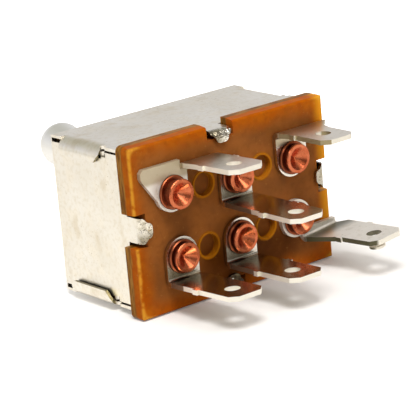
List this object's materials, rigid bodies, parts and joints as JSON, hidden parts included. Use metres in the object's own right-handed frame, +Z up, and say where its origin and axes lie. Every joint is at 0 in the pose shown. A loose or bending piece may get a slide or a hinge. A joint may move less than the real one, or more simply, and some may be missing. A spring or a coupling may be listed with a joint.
{
  "type": "panel toggle switch",
  "caption": "Panel toggle switch: folded steel case, amber moulded base plate with riveted spade blades, threaded bushing and rounded metal lever.",
  "frame": {"origin": "on the bushing's axis at the front face of the steel case", "axes": "+Y out along the bushing and lever, +X along the rows of terminals, +Z up as the switch lies on its long side"},
  "size_m": [0.0403, 0.0755, 0.0266],
  "materials": {
    "case_steel": "bright tinned sheet, faint handling marks",
    "base_moulding": "translucent amber moulding, satin",
    "terminal_plate": "bright tinned brass strip",
    "rivet_copper": "bright turned copper",
    "bushing_plate": "nickel plated, satin",
    "lever_metal": "bright plated, smooth",
    "pin_steel": "plain steel",
    "carriage_moulding": "dark brown moulding",
    "contact_copper": "plain copper strip",
    "spring_steel": "spring wire",
    "liner_fibre": "brown fibre sheet",
    "hardware_plate": "nickel plated, satin"
  },
  "bodies": {
    "housing": {"case": "case_steel", "base_plate": "base_moulding", "terminal_top_left": "terminal_plate", "terminal_top_middle": "terminal_plate", "terminal_top_right": "terminal_plate", "terminal_bottom_left": "terminal_plate", "terminal_bottom_middle": "terminal_plate", "terminal_bottom_right": "terminal_plate", "rivet_top_left": "rivet_copper", "rivet_top_middle": "rivet_copper", "rivet_top_right": "rivet_copper", "rivet_bottom_left": "rivet_copper", "rivet_bottom_middle": "rivet_copper", "rivet_bottom_right": "rivet_copper", "bushing": "bushing_plate", "pivot_pin": "pin_steel", "liner": "liner_fibre", "lock_washer": "hardware_plate", "hex_nut": "hardware_plate"},
    "toggle": {"lever": "lever_metal"},
    "slider": {"carriage": "carriage_moulding", "contact_bar_top": "contact_copper", "contact_bar_bottom": "contact_copper", "contact_spring_top": "spring_steel", "contact_spring_bottom": "spring_steel"}
  },
  "joints": [
    {"name": "lever_tilt", "type": "hinge", "parent": "housing", "child": "toggle", "pos_m": [0, 0.0036, 0], "axis": [0, 0, 1], "range_deg": [0, 26]},
    {"name": "carriage_slide", "type": "slide", "parent": "housing", "child": "slider", "axis": [1, 0, 0], "range_m": [0, 0.00585]}
  ],
  "couplings": [
    {"joint": "carriage_slide", "follows": "lever_tilt", "m_per_rad": 0.012888}
  ]
}
